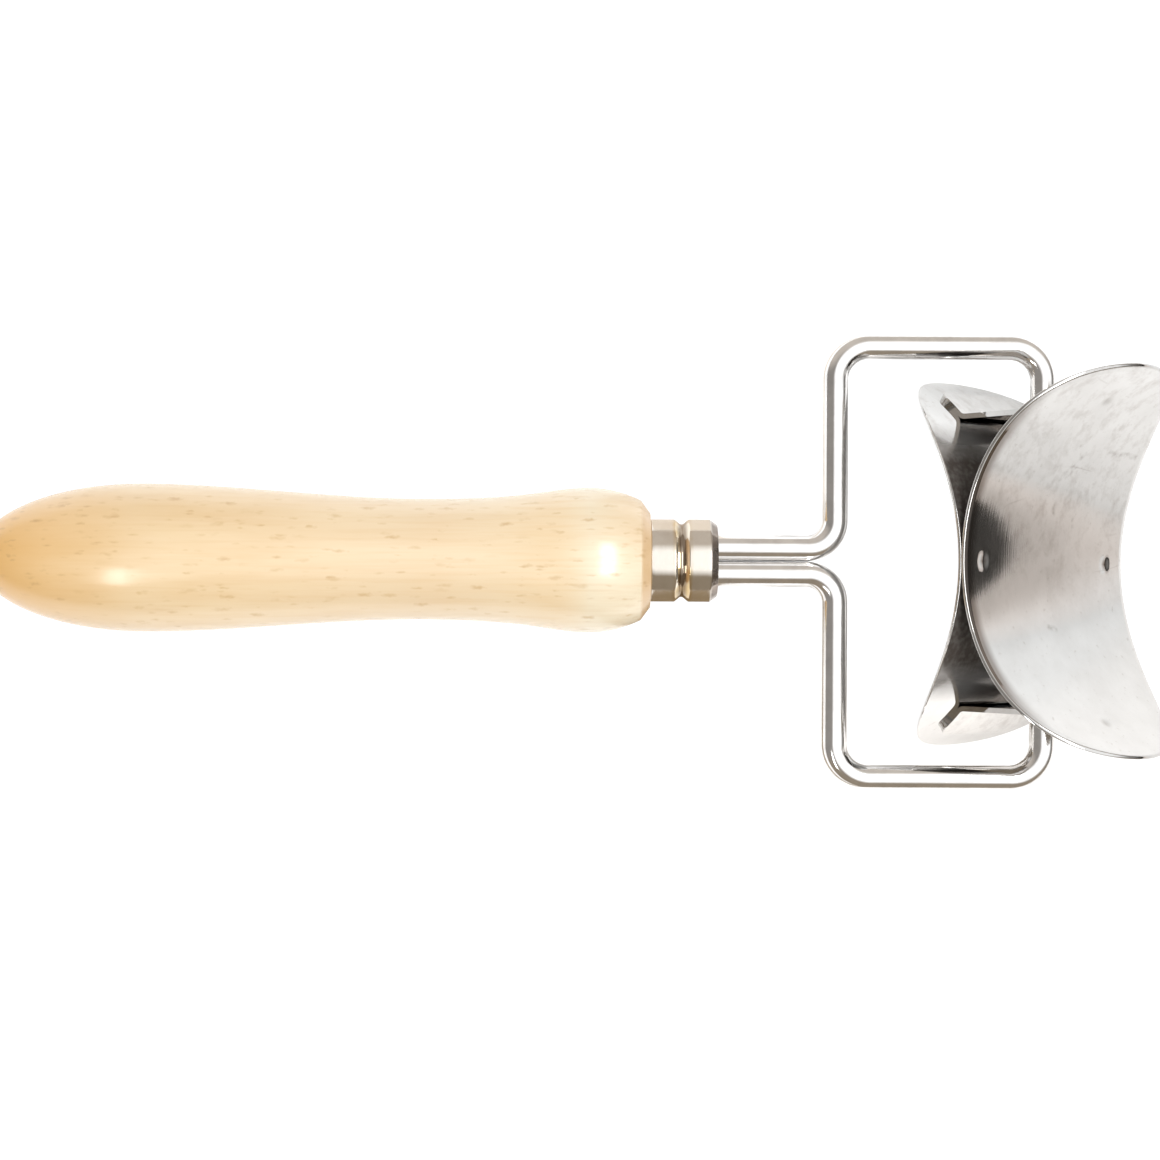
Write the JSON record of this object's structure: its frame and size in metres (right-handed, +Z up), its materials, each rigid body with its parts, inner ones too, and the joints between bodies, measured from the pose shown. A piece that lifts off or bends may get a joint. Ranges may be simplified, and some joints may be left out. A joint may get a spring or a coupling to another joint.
{
  "type": "rolling ravioli cutter",
  "caption": "Hand tool with a turned beech handle, a ferrule and a bent-wire fork that carries a free-turning roller of back-to-back trough blades for cutting rounds from dough.",
  "frame": {"origin": "on the table under the middle of the tool's bounding box", "axes": "+X along the tool from the butt towards the roller, +Y along the roller axis towards the left arm of the fork, +Z up from the table the tool lies on"},
  "size_m": [0.2312, 0.089, 0.048],
  "materials": {
    "beech": "varnished pale beech with short brown flecks along the grain",
    "plated_steel": "bright nickel plate",
    "fork_steel": "bright drawn stainless wire",
    "blade_steel": "satin stainless sheet with fine scratches and spot-weld marks",
    "bracket_steel": "satin stainless strip"
  },
  "bodies": {
    "handle_frame": {"handle": "beech", "ferrule": "plated_steel", "left_fork_wire": "fork_steel", "right_fork_wire": "fork_steel"},
    "roller": {"upper_blade": "blade_steel", "lower_blade": "blade_steel", "left_bracket": "bracket_steel", "right_bracket": "bracket_steel"}
  },
  "joints": [
    {"name": "roller_spin", "type": "hinge", "parent": "handle_frame", "child": "roller", "pos_m": [0.0916, 0, 0.024], "axis": [0, 1, 0], "continuous": true}
  ]
}
